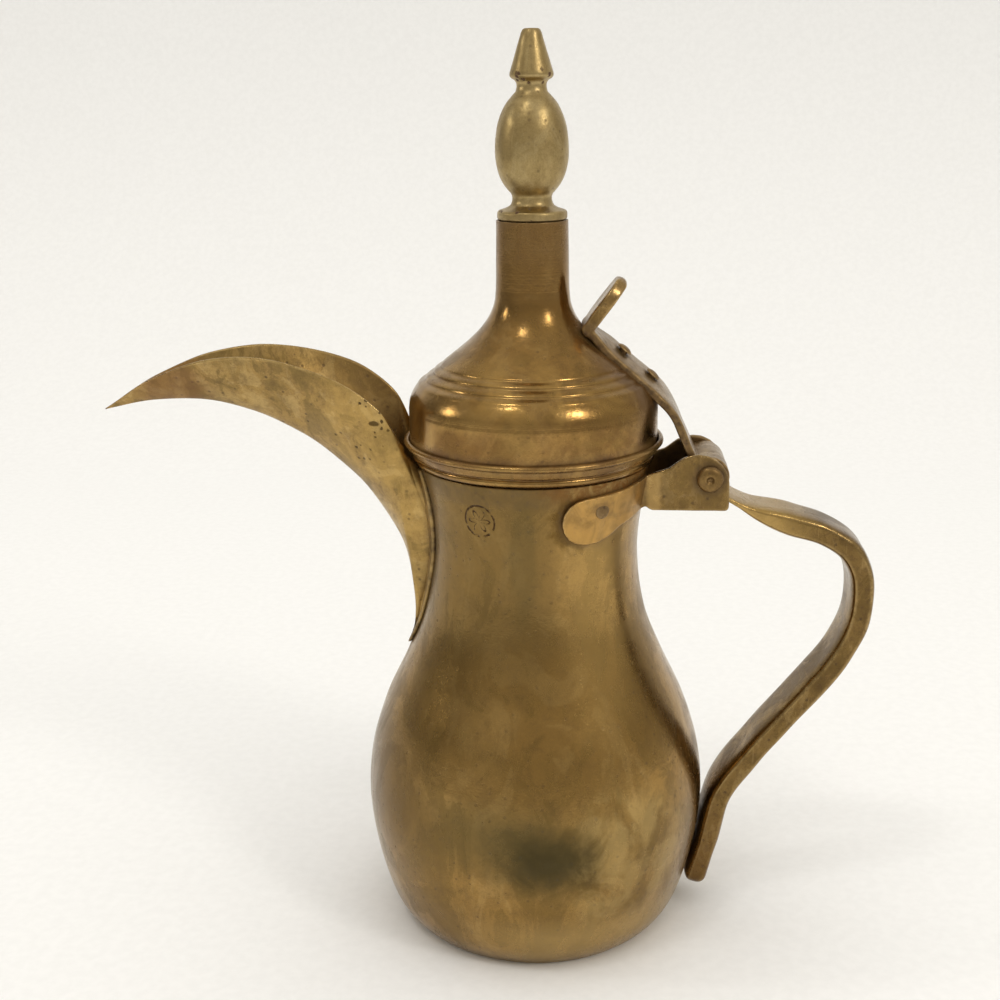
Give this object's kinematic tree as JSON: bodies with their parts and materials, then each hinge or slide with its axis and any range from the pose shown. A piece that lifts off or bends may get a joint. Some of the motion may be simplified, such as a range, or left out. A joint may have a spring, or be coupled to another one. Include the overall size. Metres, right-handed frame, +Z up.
{
  "type": "dallah coffee pot",
  "caption": "Brass coffee pot with a waisted round body, long open beak spout, hinged domed lid with a finial, and a strap handle.",
  "frame": {"origin": "centre of the foot, on the surface the pot stands on", "axes": "+Z up along the pot's axis, -X towards the spout, +X towards the handle"},
  "size_m": [0.2578, 0.1168, 0.3],
  "materials": {
    "aged_brass": "satin, aged",
    "spout_brass": "satin, mottled",
    "cast_brass": "filed and worn",
    "pale_brass": "cast, polished high spots",
    "seat_brass": "dull, tinned"
  },
  "bodies": {
    "pot": {"body_shell": "aged_brass", "base_plate": "aged_brass", "mouth_ring": "seat_brass", "spout": "spout_brass", "hinge_bracket": "cast_brass", "bracket_rivet_near": "cast_brass", "bracket_rivet_far": "cast_brass", "hinge_pin": "cast_brass", "handle": "cast_brass", "handle_rivet": "cast_brass"},
    "lid": {"lid_shell": "aged_brass", "lid_band": "aged_brass", "lid_collar": "seat_brass", "finial": "pale_brass", "lid_arm": "cast_brass", "arm_rivet_upper": "cast_brass", "arm_rivet_lower": "cast_brass"}
  },
  "joints": [
    {"name": "lid_hinge", "type": "hinge", "parent": "pot", "child": "lid", "pos_m": [0.0574, 0, 0.1608], "axis": [0, 1, 0], "range_deg": [0, 135]}
  ]
}
